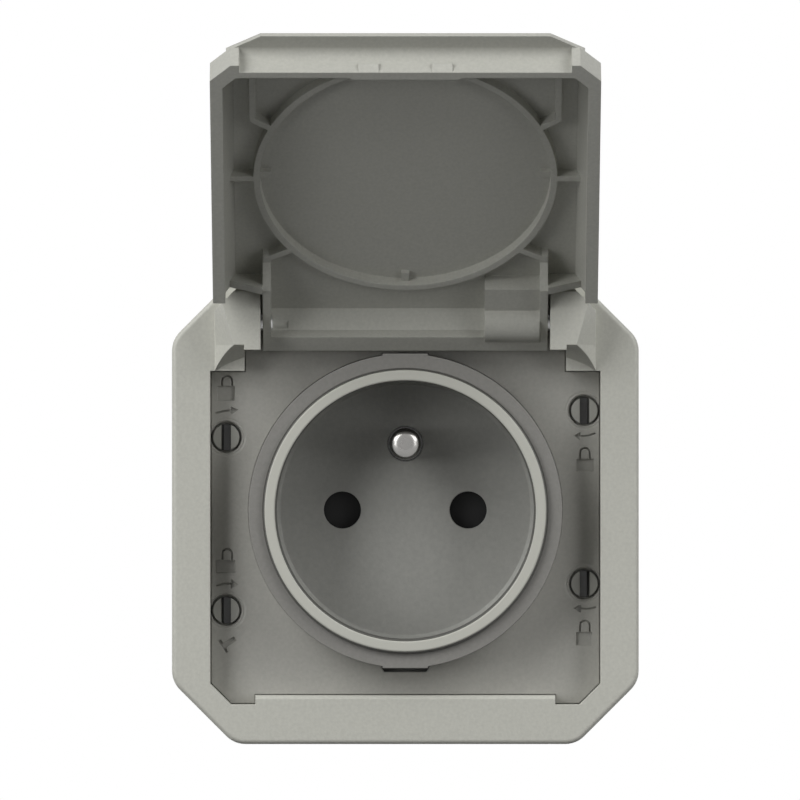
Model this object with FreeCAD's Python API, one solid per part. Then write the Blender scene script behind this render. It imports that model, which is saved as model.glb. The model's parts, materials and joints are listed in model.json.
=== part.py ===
import FreeCAD, Part
import math
import os
from FreeCAD import Vector

# Weatherproof flush socket, two poles and earth, with a hinged lid standing open.
# X points right, Z up, the front faces -Y. The plane Y = 0 is the frame's rear face, and the
# origin is where the axis of the plug well crosses it. A "depth" below is a distance in
# front of that plane, so Y = -depth.

# Front frame
FRAME_SIZE = 70.0
FRAME_CHAMFER = 9.35
FRAME_CORNER_R = 4.0
FRAME_DEPTH = 8.0
FRAME_EDGE_R = 0.7
BORDER_SIDE = 5.75
BORDER_BOTTOM = 5.94
BORDER_TOP = 1.9
OPENING_CHAMFER = 3.1
LEDGE_T = 2.0
BAR_INSET = 6.75
BAR_RISE = 1.36
BAR_CHAMFER = 0.5
GROOVE_WALL = 1.6
GROOVE_W = 2.4
GROOVE_DEPTH = 1.0
HOLLOW_W = 1.4
HOLLOW_DEPTH = 5.6
SEAL_GAP = 0.1

# Inner panel and its quarter-turn locks
PANEL_T = 2.0
PANEL_GAP = 0.1
LOCK_INSET = 2.35
LOCKS_LEFT_Z = (11.0, -15.0)
LOCKS_RIGHT_Z = (15.0, -11.0)
LOCK_HEAD_R = 1.98
LOCK_HEAD_T = 1.5
LOCK_SLOT_W = 1.08
LOCK_SLOT_SLOPE = 0.44
LOCK_SLOT_SHIFT = 0.15
LOCK_SLOT_DEPTH = 1.1
LOCK_SHAFT_R = 1.45
LOCK_FIT = 0.07
LOCK_LOBE_REACH = 3.4
LOCK_LOBE_W = 2.6
LOCK_LOBE_T = 1.5
LOCK_LOBE_GAP = 0.1
LOCK_RECESS_GAP = 0.32
LOCK_RECESS_DEPTH = 1.4
LOCK_MOUTH = 0.25

# Plug well
COLLAR_GAP = 0.25
WELL_WALL = 1.9
WELL_DEPTH = 15.2
WELL_FLOOR_T = 2.2
BAND_RISE = 6.7
RING_RISE = 1.0
RING_EDGE = 0.35
MOUTH_EDGE = 0.25
FLOOR_EDGE = 0.5
FLANGE_LAP = 0.8
FLANGE_T = 2.0
FLANGE_CORNER = 4.2
WINDOW_GAP = 0.3
SEAL_FIT = 0.05
BAND_W = 2.15
BAND_HOLE_GAP = 0.1
TAB_HALF = 3.4
TAB_RISE = 0.05
SLOT_HALF = 3.6
SLOT_TOP_HALF = 3.15
SLOT_DROP = 0.6
POLE_SPACING = 19.0
POLE_HOLE_R = 2.8
PIN_R = 2.4

# Lid and hinge. u runs down the closed lid from the axis, v from the axis to the panel.
HINGE_DROP = 6.8
HINGE_RISE = 1.9
OPEN_ANGLE = 136.5
LID_R = 4.4
LID_FLOOR_T = 1.7
LID_GAP = 0.6
RIM_GAP = 0.3
SKIRT_T = 1.85
END_SKIRT_T = 1.1
INNER_TAPER = 1.4
BEVEL_SIDE = 2.9
BEVEL_END = 5.6
LID_CORNER = 3.05
LID_FACE_CORNER = 2.2
LID_INNER_CORNER = 2.0
LIP_GAP = 0.3
LIP_T = 0.7
LIP_REACH = 2.2
LIP_FLAT_INSET = 7.45
LIP_CORNER = 0.7
RECESS_INSET = 4.3
RECESS_R = 1.5
CATCH_X = 3.9
CATCH_W = 3.0
CATCH_RISE = 0.4
CATCH_LENGTH = 1.9
CATCH_BACK = 0.35
CATCH_BACK_HALF = 8.2
CATCH_ROOT = 0.2
PRESS_GAP = 0.2
RING_CLEAR = 0.25
RING_RIB_T = 1.0
RIB_T = 0.95
UPPER_RIB_INSET = 6.05
UPPER_RIB_RISE = 11.7
UPPER_RIB_RUN = 2.9
LOWER_RIB_RUN = 3.3
NIB_REACH = 1.6
NIB_W = 1.2
CHEEK_T = 1.2
CHEEK_TOP_V = 2.0
CHEEK_STEP_U = 8.3
CHEEK_END_U = 11.4
HINGE_WALL = 2.8
KNEE_STEP = 0.25
KNEE_V = 0.17
FOOT_U = 0.42
END_GAP = 1.9
END_WALL_T = 1.3
END_STEP = 0.5
SWING_GAP = 0.3
BARREL_LENGTH = 8.2
BARREL_END_T = 0.8
BARREL_R = 2.95
BLOCK_TOP_V = 0.5
BLOCK_U = 7.2

# Hinge ears
EAR_GAP = 0.35
EAR_KNUCKLE_W = 2.45
EAR_SIDE = 0.75
EAR_W = 4.4
EAR_FOOT_RISE = 0.9
EAR_LEAN = 0.29
EAR_R = 6.4
EAR_CORNER_INSET = 1.52
EAR_DROP = 7.25
EAR_FACE_DROP = 3.35
KNUCKLE_DROP = 4.1
KNUCKLE_REAR = 1.0
HINGE_PIN_R = 1.2
HINGE_FIT = 0.05
HINGE_PIN_DEPTH = 3.25
PIN_END = 0.2
SLEEVE_T = 0.55
SLEEVE_SLIT = 0.5

# Mechanism behind the well
BASE_HALF = 20.8
BASE_CORNER = 6.0
COVER_T = 1.5
COVER_INSET = 1.4
SHUTTER_T = 1.6
SHUTTER_TRAVEL = 5.8
SHUTTER_RIM = 1.1
SHUTTER_BELOW = 3.6
SHUTTER_ABOVE = 3.4
SHUTTER_BRIDGE = 2.6
SHUTTER_GAP = 0.25
SHUTTER_FOOT_T = 1.2
SPRING_R = 1.8
SPRING_WIRE = 0.4
SPRING_LENGTH = 11.4
SPRING_TURNS = 6
SLEEVE_WALL = 0.8
SLEEVE_LENGTH = 11.5
CONTACT_GRIP = 0.05
CAGE_W = 6.4
CAGE_H = 7.0
CAGE_DEPTH = 6.0
CAGE_WALL = 1.0
STRAP_T = 1.0
CAGE_EDGE = 5.3
POCKET_GAP = 0.2
EARTH_Z = 10.0
EARTH_REACH = 14.0
EARTH_DOME = 1.5
EARTH_ROOT_R = 2.6
EARTH_ROOT_RISE = 0.1
EARTH_COLLAR_R = 3.4
EARTH_COLLAR_T = 1.4
EARTH_TAIL_R = 1.6
TERMINAL_SCREW_R = 1.5
TERMINAL_HEAD_R = 2.2
TERMINAL_HEAD_T = 1.2
SCREW_SLOT_W = 0.6
SCREW_BITE = 1.2
SCREW_TIP_GAP = 0.2
WIRE_SLOT = 4.8
PANEL_SCREW_INSET = 4.45
PANEL_SCREW_R = 1.0
PANEL_SCREW_HEAD_R = 1.9
PANEL_SCREW_HEAD_T = 1.1
PANEL_SCREW_SKIN = 0.6
BOSS_INSET = 0.65
BASE_SCREW_R = 1.2
BASE_SCREW_HEAD_R = 2.1
BASE_SCREW_HEAD_T = 1.3
BOSS_R = 2.6
BOSS_LENGTH = 6.0
SCREW_FIT = 0.05

# Derived places, from the frame inwards to the well and the lid's cheeks
HALF = FRAME_SIZE / 2
OPEN_X = HALF - BORDER_SIDE
OPEN_BOTTOM = HALF - BORDER_BOTTOM
OPEN_TOP = HALF - BORDER_TOP
BAR_HALF = OPEN_X - BAR_INSET
LOCK_X = OPEN_X - LOCK_INSET
PANEL_FRONT = LEDGE_T + PANEL_T
BAND_FRONT = PANEL_FRONT + BAND_RISE
RING_FRONT = BAND_FRONT + RING_RISE
HINGE_Z = HALF - HINGE_DROP
HINGE_C = FRAME_DEPTH + HINGE_RISE
TAB_REACH = HINGE_Z - LID_R - COLLAR_GAP
BAND_R = TAB_REACH - TAB_RISE
RING_R = BAND_R - BAND_W - SEAL_FIT
WELL_R = RING_R - WELL_WALL
FLOOR_FRONT = RING_FRONT - WELL_DEPTH
FLOOR_REAR = FLOOR_FRONT - WELL_FLOOR_T
FLANGE_HALF = TAB_REACH + FLANGE_LAP
WINDOW_HALF = FLANGE_HALF + WINDOW_GAP
PANEL_SCREW_AT = FLANGE_HALF - PANEL_SCREW_INSET
BASE_SCREW_AT = (RING_R - BOSS_INSET) / math.sqrt(2)
POLE_X = POLE_SPACING / 2
EAR_OUT = OPEN_X - EAR_SIDE
EAR_STEP = EAR_OUT - EAR_W
EAR_IN = EAR_STEP - EAR_KNUCKLE_W
CHEEK_OUT = EAR_IN - EAR_GAP
CHEEK_IN = CHEEK_OUT - CHEEK_T
BARREL_X = CHEEK_IN - BARREL_LENGTH
FACE_C = HINGE_C + LID_R
RIM_V = HINGE_C - PANEL_FRONT - RIM_GAP
LIP_V = HINGE_C - FRAME_DEPTH - LIP_GAP
LID_FLOOR_V = LID_FLOOR_T - LID_R
RIB_V = HINGE_C - BAND_FRONT - PRESS_GAP
LID_X = OPEN_X - LID_GAP
LIP_FLAT_HALF = LID_X - LIP_FLAT_INSET
RECESS_HALF = LID_X - RECESS_INSET
UPPER_RIB_X = LID_X - UPPER_RIB_INSET
UPPER_RIB_U = HINGE_Z + UPPER_RIB_RISE
LID_END_U = HINGE_Z + OPEN_BOTTOM - LID_GAP
RECESS_U = LID_END_U - BAR_RISE
INNER_END_U = RECESS_U - END_SKIRT_T
SHUTTER_FRONT = FLOOR_REAR
SHUTTER_HALF = POLE_X + POLE_HOLE_R + SHUTTER_RIM
CONTACT_FRONT = FLOOR_REAR - SHUTTER_T - 2 * SHUTTER_GAP
CAGE_OFFSET = BASE_HALF - POLE_X - CAGE_EDGE
CAGE_FRONT = CONTACT_FRONT - SLEEVE_LENGTH - STRAP_T
CAGE_REAR = CAGE_FRONT - CAGE_DEPTH
COVER_FRONT = CAGE_REAR - POCKET_GAP / 2
BASE_REAR = COVER_FRONT - COVER_T
SPRING_SEAT = SHUTTER_FRONT - SHUTTER_GAP - SHUTTER_T - SPRING_R + SHUTTER_GAP
SPRING_ROOM = SPRING_R + SPRING_WIRE
MARGIN = 5.0
OVERCUT = 1.0
TOLERANCE = 1e-6


def at(x, depth, z):
    """Point at a depth in front of the wall plane."""
    return Vector(x, -depth, z)


def face(points):
    """Plane face bounded by straight edges."""
    return Part.Face(Part.makePolygon(points + [points[0]]))


def front_prism(outline, depth0, depth1):
    """Prism of an outline in X and Z between two depths."""
    plate = face([at(x, depth0, z) for x, z in outline])
    return plate.extrude(Vector(0, depth0 - depth1, 0))


def side_prism(profile, x0, x1):
    """Prism of a profile in depth and Z between two X planes."""
    plate = face([at(x0, depth, z) for depth, z in profile])
    return plate.extrude(Vector(x1 - x0, 0, 0))


def block(x0, x1, depth0, depth1, z0, z1):
    """Box between opposite corners."""
    outline = [(x0, z0), (x1, z0), (x1, z1), (x0, z1)]
    return front_prism(outline, depth0, depth1)


def round_bar(radius, x, z, depth0, depth1):
    """Cylinder along Y between two depths."""
    return Part.makeCylinder(radius, depth1 - depth0, at(x, depth1, z), Vector(0, 1, 0))


def cross_bar(radius, x0, x1):
    """Cylinder along the hinge axis between two X planes."""
    return Part.makeCylinder(radius, x1 - x0, at(x0, HINGE_C, HINGE_Z), Vector(1, 0, 0))


def edges_at(shape, depth):
    """Edges that lie in the plane at a depth."""
    return [e for e in shape.Edges if abs(e.CenterOfMass.y + depth) < TOLERANCE]


def mirror_x(shape):
    """Copy of a shape on the other side of the middle plane."""
    return shape.mirror(Vector(0, 0, 0), Vector(1, 0, 0))


def clean(shape):
    """Shape with the seams between coplanar faces removed."""
    return shape.removeSplitter()


def octagon(inset):
    """Frame outline moved inwards by a constant distance."""
    half = HALF - inset
    leg = FRAME_CHAMFER - inset * (2 - math.sqrt(2))
    flat = half - leg
    return [(-flat, -half), (flat, -half), (half, -flat), (half, flat),
            (flat, half), (-flat, half), (-half, flat), (-half, -flat)]


def chamfered_square(half, corner):
    """Square outline with its corners cut off."""
    flat = half - corner
    return [(-flat, -half), (flat, -half), (half, -flat), (half, flat),
            (flat, half), (-flat, half), (-half, flat), (-half, -flat)]


def rounded_octagon(inset, depth0, depth1):
    """Octagonal prism whose eight upright edges are rounded."""
    body = front_prism(octagon(inset), depth0, depth1)
    upright = [e for e in body.Edges if abs(e.tangentAt(e.FirstParameter).y) > 0.99]
    return body.makeFillet(FRAME_CORNER_R - inset, upright)


def opening_outline(gap):
    """Outline of the frame's opening, moved inwards by a gap."""
    x = OPEN_X - gap
    low = gap - OPEN_BOTTOM
    chamfer = OPENING_CHAMFER - gap * (2 - math.sqrt(2))
    bar_x = BAR_HALF + gap
    bar_z = low + BAR_RISE
    side_top = HINGE_Z - EAR_DROP - gap
    step = EAR_STEP - gap
    top = OPEN_TOP - gap
    right = [(bar_x, bar_z), (bar_x, low), (x - chamfer, low), (x, low + chamfer),
             (x, side_top), (step, side_top), (step, top)]
    left = [(-px, pz) for px, pz in reversed(right)]
    return right + left


def lock_places():
    """Name, X, Z and side of each quarter-turn lock."""
    left = [("lock_upper_left", LOCKS_LEFT_Z[0]), ("lock_lower_left", LOCKS_LEFT_Z[1])]
    right = [("lock_upper_right", LOCKS_RIGHT_Z[0]), ("lock_lower_right", LOCKS_RIGHT_Z[1])]
    places = [(name, -LOCK_X, z, -1) for name, z in left]
    return places + [(name, LOCK_X, z, 1) for name, z in right]


def ear():
    """Right hinge ear: bevelled buttress with a knuckle on its inner side."""
    top = HALF - FRAME_EDGE_R
    side_top = HINGE_Z - EAR_DROP
    face_low = HINGE_Z - EAR_FACE_DROP
    inner = [(0, side_top), (PANEL_FRONT, side_top), (PANEL_FRONT, side_top + EAR_FOOT_RISE),
             (FACE_C, face_low), (FACE_C, top), (0, top)]
    outer = [(0, side_top), (PANEL_FRONT, side_top), (FRAME_DEPTH, side_top),
             (FACE_C, face_low), (FACE_C, top), (0, top)]
    ends = [Part.makePolygon([at(x, depth, z) for depth, z in profile + [profile[0]]])
            for profile, x in ((inner, EAR_STEP), (outer, EAR_OUT))]
    buttress = Part.makeLoft(ends, True, True)
    knuckle = side_prism([(PANEL_FRONT + KNUCKLE_REAR, HINGE_Z - KNUCKLE_DROP),
                          (FACE_C, HINGE_Z - KNUCKLE_DROP), (FACE_C, top),
                          (PANEL_FRONT + KNUCKLE_REAR, top)], EAR_IN, EAR_STEP)
    body = buttress.fuse(knuckle)
    over = block(0, HALF, FRAME_DEPTH, FACE_C + MARGIN, HINGE_Z, HALF + MARGIN)
    over = over.cut(cross_bar(EAR_R, 0, HALF))
    body = body.cut(over)
    bevel_low = HINGE_C - LIP_V
    bevel = face([at(x, depth, face_low) for x, depth in
                  ((EAR_OUT, bevel_low), (EAR_OUT - BEVEL_SIDE, FACE_C),
                   (EAR_OUT - BEVEL_SIDE, FACE_C + MARGIN), (HALF + MARGIN, FACE_C + MARGIN),
                   (HALF + MARGIN, bevel_low))])
    above = top - face_low
    body = body.cut([bevel.extrude(Vector(EAR_LEAN * above, 0, above)),
                     bevel.extrude(Vector(0, 0, -face_low))])
    line = FRAME_SIZE - FRAME_CHAMFER - EAR_CORNER_INSET * math.sqrt(2)
    corner = front_prism([(HALF, line - HALF), (HALF, HALF), (line - HALF, HALF)],
                         FRAME_DEPTH, FACE_C + MARGIN)
    bore = cross_bar(HINGE_PIN_R + HINGE_FIT / 2, EAR_IN - MARGIN, EAR_IN + HINGE_PIN_DEPTH + HINGE_FIT)
    return body.cut(corner).cut(bore)


def lock_notch(x, z, side):
    """Way for a lock's shaft through the ledge, open towards the middle."""
    radius = LOCK_SHAFT_R + LOCK_FIT
    hole = round_bar(radius, x, z, -MARGIN, LEDGE_T)
    inner = side * (WINDOW_HALF - MARGIN)
    slot = block(min(x, inner), max(x, inner), -MARGIN, LEDGE_T, z - radius, z + radius)
    return hole.fuse(slot)


def rear_channel(inset, width, depth):
    """Channel that runs round the frame's rear."""
    ring = front_prism(octagon(inset), -MARGIN, depth)
    return ring.cut(front_prism(octagon(inset + width), -2 * MARGIN, depth + MARGIN))


def front_frame():
    """Octagonal frame with a rear ledge, a seal groove, a closing bar and two hinge ears."""
    body = rounded_octagon(0, 0, FRAME_DEPTH)
    body = body.makeFillet(FRAME_EDGE_R, edges_at(body, FRAME_DEPTH))
    body = body.cut(front_prism(opening_outline(0), LEDGE_T, FRAME_DEPTH + MARGIN))
    window = chamfered_square(WINDOW_HALF, FLANGE_CORNER + WINDOW_GAP * (2 - math.sqrt(2)))
    body = body.cut(front_prism(window, -MARGIN, LEDGE_T))
    low = BAR_RISE - OPEN_BOTTOM
    edge = side_prism([(FRAME_DEPTH, low), (FRAME_DEPTH, low - BAR_CHAMFER),
                       (FRAME_DEPTH - BAR_CHAMFER, low)], -BAR_HALF, BAR_HALF)
    body = body.cut(edge)
    right_ear = ear()
    body = body.fuse([right_ear, mirror_x(right_ear)])
    groove = rear_channel(GROOVE_WALL, GROOVE_W, GROOVE_DEPTH)
    hollow = rear_channel(GROOVE_WALL + (GROOVE_W - HOLLOW_W) / 2, HOLLOW_W, HOLLOW_DEPTH)
    below_ears = block(-HALF, HALF, -MARGIN, FRAME_DEPTH, -HALF, HINGE_Z - EAR_DROP)
    body = body.cut([groove, hollow.common(below_ears)])
    for name, x, z, side in lock_places():
        body = body.cut(lock_notch(x, z, side))
    return clean(body)


def frame_seal():
    """Soft ring that fills the frame's rear groove."""
    outer = front_prism(octagon(GROOVE_WALL + SEAL_GAP), 0, GROOVE_DEPTH)
    inner = front_prism(octagon(GROOVE_WALL + GROOVE_W - SEAL_GAP), -MARGIN, GROOVE_DEPTH + MARGIN)
    return outer.cut(inner)


def band_outline_cut(gap, depth0, depth1):
    """Round collar with a flat tab at its top and bottom, grown by a gap."""
    disc = round_bar(BAND_R + gap, 0, 0, depth0, depth1)
    reach = TAB_REACH + gap
    tabs = block(-TAB_HALF - gap, TAB_HALF + gap, depth0, depth1, -reach, reach)
    return disc.fuse(tabs)


def corner_places(distance):
    """The four places at one distance from both middle planes."""
    return [(sx * distance, sz * distance) for sx in (-1, 1) for sz in (-1, 1)]


def inner_panel():
    """Flat panel that fills the opening, with the collar's hole and the lock recesses."""
    body = front_prism(opening_outline(PANEL_GAP), LEDGE_T, PANEL_FRONT)
    body = body.cut(band_outline_cut(BAND_HOLE_GAP, LEDGE_T - MARGIN, PANEL_FRONT + MARGIN))
    low = -TAB_REACH - BAND_HOLE_GAP
    slot = [(-SLOT_HALF, low + MARGIN), (-SLOT_HALF, low), (-SLOT_TOP_HALF, low - SLOT_DROP),
            (SLOT_TOP_HALF, low - SLOT_DROP), (SLOT_HALF, low), (SLOT_HALF, low + MARGIN)]
    body = body.cut(front_prism(slot, LEDGE_T - MARGIN, PANEL_FRONT + MARGIN))
    for name, x, z, side in lock_places():
        recess_r = LOCK_HEAD_R + LOCK_RECESS_GAP
        mouth = Part.makeCone(recess_r + LOCK_MOUTH, recess_r, LOCK_MOUTH, at(x, PANEL_FRONT, z),
                              Vector(0, 1, 0))
        body = body.cut(mouth)
        body = body.cut(round_bar(recess_r, x, z, PANEL_FRONT - LOCK_RECESS_DEPTH, PANEL_FRONT + MARGIN))
        body = body.cut(round_bar(LOCK_SHAFT_R + LOCK_FIT, x, z, 0, PANEL_FRONT))
    for x, z in corner_places(PANEL_SCREW_AT):
        pilot = round_bar(PANEL_SCREW_R + SCREW_FIT, x, z, 0, PANEL_FRONT - PANEL_SCREW_SKIN)
        body = body.cut(pilot)
    return clean(body)


def quarter_turn_lock(x, z, side):
    """Slotted head in the panel's recess, a shaft and one lobe behind the ledge."""
    seat = PANEL_FRONT - LOCK_RECESS_DEPTH
    head = round_bar(LOCK_HEAD_R, x, z, seat, seat + LOCK_HEAD_T)
    top = seat + LOCK_HEAD_T
    near = x - side * (LOCK_SLOT_W / 2 + LOCK_SLOT_SHIFT)
    far = near + side * LOCK_SLOT_W
    profile = [(near, top), (near, top - LOCK_SLOT_DEPTH), (far, top - LOCK_SLOT_DEPTH),
               (far + side * LOCK_SLOT_SLOPE, top)]
    slot = face([at(px, depth, z - LOCK_HEAD_R) for px, depth in profile])
    slot = slot.extrude(Vector(0, 0, 2 * LOCK_HEAD_R))
    rear = -LOCK_LOBE_GAP - LOCK_LOBE_T
    shaft = round_bar(LOCK_SHAFT_R, x, z, rear, seat)
    half = LOCK_LOBE_W / 2
    arm = block(x - half, x + half, rear, -LOCK_LOBE_GAP, z - LOCK_LOBE_REACH + half, z)
    tip = round_bar(half, x, z - LOCK_LOBE_REACH + half, rear, -LOCK_LOBE_GAP)
    return clean(head.cut(slot).fuse([shaft, arm, tip]))


def base_screw_places():
    """Two opposite corners of the mechanism."""
    return [(-BASE_SCREW_AT, -BASE_SCREW_AT), (BASE_SCREW_AT, BASE_SCREW_AT)]


def socket_cup():
    """Plug well with its light ring, its mounting flange and two screw bosses."""
    wall = round_bar(RING_R, 0, 0, FLOOR_REAR, RING_FRONT)
    wall = wall.makeChamfer(RING_EDGE, edges_at(wall, RING_FRONT))
    flange = front_prism(chamfered_square(FLANGE_HALF, FLANGE_CORNER), LEDGE_T - FLANGE_T, LEDGE_T)
    bosses = [round_bar(BOSS_R, x, z, FLOOR_REAR - BOSS_LENGTH, FLOOR_REAR)
              for x, z in base_screw_places()]
    body = wall.fuse([flange] + bosses)
    well = round_bar(WELL_R, 0, 0, FLOOR_FRONT, RING_FRONT)
    mouth = Part.makeCone(WELL_R + MOUTH_EDGE, WELL_R, MOUTH_EDGE, at(0, RING_FRONT, 0), Vector(0, 1, 0))
    body = body.cut([well.makeChamfer(FLOOR_EDGE, edges_at(well, FLOOR_FRONT)), mouth])
    for x in (-POLE_X, POLE_X):
        body = body.cut(round_bar(POLE_HOLE_R, x, 0, FLOOR_REAR - MARGIN, FLOOR_FRONT + MARGIN))
    body = body.cut(round_bar(EARTH_ROOT_R + SEAL_FIT, 0, EARTH_Z, FLOOR_REAR - MARGIN,
                              FLOOR_FRONT + MARGIN))
    for x, z in base_screw_places():
        pilot = round_bar(BASE_SCREW_R + SCREW_FIT, x, z, FLOOR_REAR - BOSS_LENGTH - MARGIN, FLOOR_REAR)
        body = body.cut(pilot)
    for x, z in corner_places(PANEL_SCREW_AT):
        hole = round_bar(PANEL_SCREW_R + SCREW_FIT, x, z, LEDGE_T - FLANGE_T - MARGIN, LEDGE_T + MARGIN)
        body = body.cut(hole)
    return clean(body)


def collar_seal():
    """Soft collar round the well, which the closed lid's ring presses on."""
    body = band_outline_cut(0, LEDGE_T, BAND_FRONT)
    return clean(body.cut(round_bar(RING_R + SEAL_FIT, 0, 0, LEDGE_T - MARGIN, BAND_FRONT + MARGIN)))


def lid_point(x, u, v):
    """Point of the closed lid, u down from the hinge axis and v towards the panel."""
    return at(x, HINGE_C - v, HINGE_Z - u)


def lid_plan(outline, v0, v1):
    """Prism of an outline in X and u between two v levels."""
    plate = face([lid_point(x, u, v0) for x, u in outline])
    return plate.extrude(Vector(0, v1 - v0, 0))


def lid_side(profile, x0, x1):
    """Prism of a profile in u and v between two X planes."""
    plate = face([lid_point(x0, u, v) for u, v in profile])
    return plate.extrude(Vector(x1 - x0, 0, 0))


def lid_outline(half, end, corner):
    """Rectangle from past the hinge to the free edge, with two cut corners."""
    top = -LID_R - MARGIN
    return [(-half, top), (-half, end - corner), (-half + corner, end),
            (half - corner, end), (half, end - corner), (half, top)]


def lid_loft(lower, v_low, upper, v_high):
    """Ruled solid between two outlines of the lid."""
    wires = [Part.makePolygon([lid_point(x, u, v) for x, u in outline + [outline[0]]])
             for outline, v in ((lower, v_low), (upper, v_high))]
    return Part.makeLoft(wires, True, True)


def lid_hull():
    """Outside of the lid: straight skirt below the lip, bevels up to the flat face."""
    skirt = lid_outline(LID_X, LID_END_U, LID_CORNER)
    top = lid_outline(LID_X - BEVEL_SIDE, LID_END_U - BEVEL_END, LID_FACE_CORNER)
    return lid_plan(skirt, LIP_V, RIM_V).fuse(lid_loft(skirt, LIP_V, top, -LID_R))


def lid_cavity():
    """Inside of the lid, narrowing below the bevels."""
    half = LID_X - SKIRT_T
    rim = lid_outline(half, INNER_END_U, LID_INNER_CORNER)
    slope = BEVEL_END * (LIP_V - LID_FLOOR_V) / (LIP_V + LID_R)
    bottom = lid_outline(half - INNER_TAPER, INNER_END_U - slope, LID_INNER_CORNER)
    return lid_plan(rim, LIP_V, RIM_V + MARGIN).fuse(lid_loft(rim, LIP_V, bottom, LID_FLOOR_V))


def end_line():
    """u and v of the side notch's edge, tangent to a circle clear of the ears."""
    start_u = EAR_DROP + END_GAP
    distance = math.hypot(start_u, RIM_V)
    lean = math.atan2(RIM_V, start_u) + math.asin((EAR_R + SWING_GAP) / distance)
    slope = math.cos(lean) / math.sin(lean)

    def u_at(v):
        return start_u - (RIM_V - v) * slope

    return u_at


def end_band(width):
    """Profile behind the notch's edge: a strip of the given width, or all beyond it."""
    u_at = end_line()
    high = RIM_V + MARGIN
    low = -LID_R - MARGIN
    return [(u_at(high), high), (u_at(low), low), (u_at(low) + width, low), (u_at(high) + width, high)]


def hinge_arc():
    """Edge round the hinge axis from the lid's face to the rim of the hinge wall."""
    stop = math.pi - math.asin(CHEEK_TOP_V / LID_R)
    middle = (1.5 * math.pi + stop) / 2
    ends = [(0.0, -LID_R), (LID_R * math.cos(middle), LID_R * math.sin(middle)),
            (LID_R * math.cos(stop), CHEEK_TOP_V)]
    return ends


def hinge_solid(profile, x0, x1):
    """Prism of a profile that starts with the arc round the axis."""
    start, middle, stop = [lid_point(x0, u, v) for u, v in hinge_arc()]
    corners = [stop] + [lid_point(x0, u, v) for u, v in profile] + [start]
    edges = [Part.Arc(start, middle, stop).toShape()]
    edges += Part.makePolygon(corners).Edges
    return Part.Face(Part.Wire(edges)).extrude(Vector(x1 - x0, 0, 0))


def hinge_wall():
    """Rounded end of the lid between its cheeks."""
    rim_in = hinge_arc()[2][0] + HINGE_WALL
    knee = (rim_in - KNEE_STEP, KNEE_V)
    foot = (FOOT_U, LID_FLOOR_V)
    profile = [(rim_in, CHEEK_TOP_V), knee, foot, (CHEEK_END_U, LID_FLOOR_V), (CHEEK_END_U, -LID_R)]
    return hinge_solid(profile, -CHEEK_OUT, CHEEK_OUT)


def cheek():
    """Right cheek, which rises round the hinge pin."""
    profile = [(CHEEK_STEP_U, CHEEK_TOP_V), (CHEEK_STEP_U + CHEEK_TOP_V - RIB_V, RIB_V),
               (CHEEK_END_U + CHEEK_T, RIB_V), (CHEEK_END_U + CHEEK_T, -LID_R)]
    return hinge_solid(profile, CHEEK_IN, CHEEK_OUT)


def end_wall():
    """Right end wall between the cheek and the skirt, lower at the skirt."""
    strip = lid_side(end_band(END_WALL_T), CHEEK_OUT, LID_X)
    inner = LID_X - SKIRT_T
    cap = [(CHEEK_OUT, CHEEK_TOP_V + END_STEP), (inner, -END_STEP), (LID_X, -END_STEP),
           (LID_X, -LID_R), (CHEEK_OUT, -LID_R)]
    plate = face([lid_point(x, CHEEK_END_U + MARGIN, v) for x, v in cap])
    return strip.common(plate.extrude(Vector(0, 0, CHEEK_END_U + LID_R + 2 * MARGIN)))


def rib(x0, u0, x1, u1, width, top):
    """Straight rib on the lid's floor between two points."""
    run = math.hypot(x1 - x0, u1 - u0)
    across_x = -(u1 - u0) / run * width / 2
    across_u = (x1 - x0) / run * width / 2
    outline = [(x0 + across_x, u0 + across_u), (x1 + across_x, u1 + across_u),
               (x1 - across_x, u1 - across_u), (x0 - across_x, u0 - across_u)]
    return lid_plan(outline, LID_FLOOR_V - LID_FLOOR_T / 2, top)


def lid_ring():
    """Round rib that presses on the collar, with three small nibs inside it."""
    inner = RING_R + RING_CLEAR
    low = HINGE_C - LID_FLOOR_V + LID_FLOOR_T / 2
    high = HINGE_C - RIB_V
    ring = round_bar(inner + RING_RIB_T, 0, 0, high, low)
    ring = ring.cut(round_bar(inner, 0, 0, high - OVERCUT, low + OVERCUT))
    nib_top = HINGE_C - RING_FRONT - PRESS_GAP
    middle = HINGE_Z
    nibs = [rib(side * (inner - NIB_REACH), middle, side * (inner + RING_RIB_T / 2), middle,
                NIB_W, nib_top) for side in (-1, 1)]
    nibs.append(rib(0, middle - inner - RING_RIB_T / 2, 0, middle - inner + NIB_REACH, NIB_W, nib_top))
    return ring.fuse(nibs)


def on_ring(x, side):
    """Point on the ring rib's middle line at a given X, above or below its centre."""
    radius = RING_R + RING_CLEAR + RING_RIB_T / 2
    return HINGE_Z + side * math.sqrt(radius ** 2 - x ** 2)


def lid_ribs():
    """Right-hand ribs: radial, upper with its diagonal, and lower diagonal."""
    wall_x = LID_X - SKIRT_T
    upper_x = UPPER_RIB_X - UPPER_RIB_RUN
    lower_x = CHEEK_IN - LOWER_RIB_RUN
    ring_out = RING_R + RING_CLEAR + RING_RIB_T / 2
    cheek_mid = CHEEK_IN + CHEEK_T / 2
    return [rib(ring_out, HINGE_Z, wall_x, HINGE_Z, RIB_T, RIB_V),
            rib(UPPER_RIB_X, UPPER_RIB_U - RIB_T / 4, UPPER_RIB_X, INNER_END_U, RIB_T, RIB_V),
            rib(UPPER_RIB_X, UPPER_RIB_U, upper_x, on_ring(upper_x, 1), RIB_T, RIB_V),
            rib(cheek_mid, CHEEK_END_U + RIB_T / 2, lower_x, on_ring(lower_x, -1), RIB_T, RIB_V)]


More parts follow.
